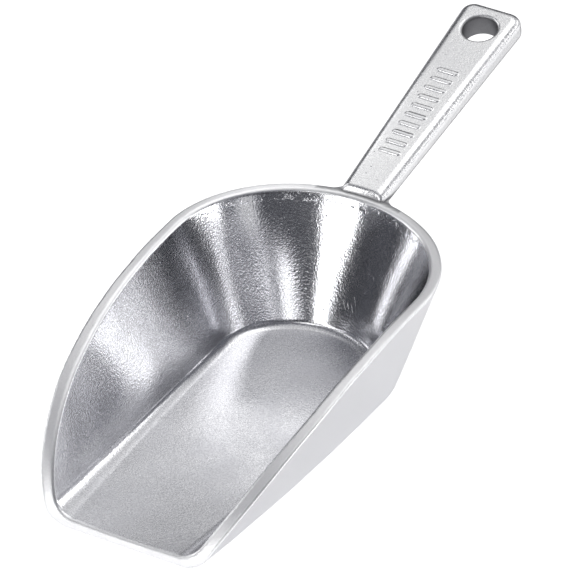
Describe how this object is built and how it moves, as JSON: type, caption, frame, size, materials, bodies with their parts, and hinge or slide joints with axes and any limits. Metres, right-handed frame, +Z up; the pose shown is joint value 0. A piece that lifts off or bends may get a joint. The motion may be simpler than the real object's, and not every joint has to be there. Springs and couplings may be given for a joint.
{
  "type": "ice scoop",
  "caption": "Cast aluminium hand scoop for ice and dry goods, with an open flat-bottomed bowl and a flat bar handle with a hanging hole.",
  "frame": {"origin": "middle of the overall footprint, on the plane the flat base rests on", "axes": "+Z up; -Y out of the mouth, over the lip; +Y along the handle to its end; X across, with the mirror plane at X = 0"},
  "size_m": [0.0962, 0.249, 0.0725],
  "materials": {
    "bowl": "polished, with the fine grain of a casting",
    "handle": "tumbled casting, lightly polished",
    "weld_bead": "dressed smooth, satin"
  },
  "bodies": {
    "root": {"bowl": "bowl", "handle": "handle", "weld_bead": "weld_bead"}
  },
  "joints": []
}
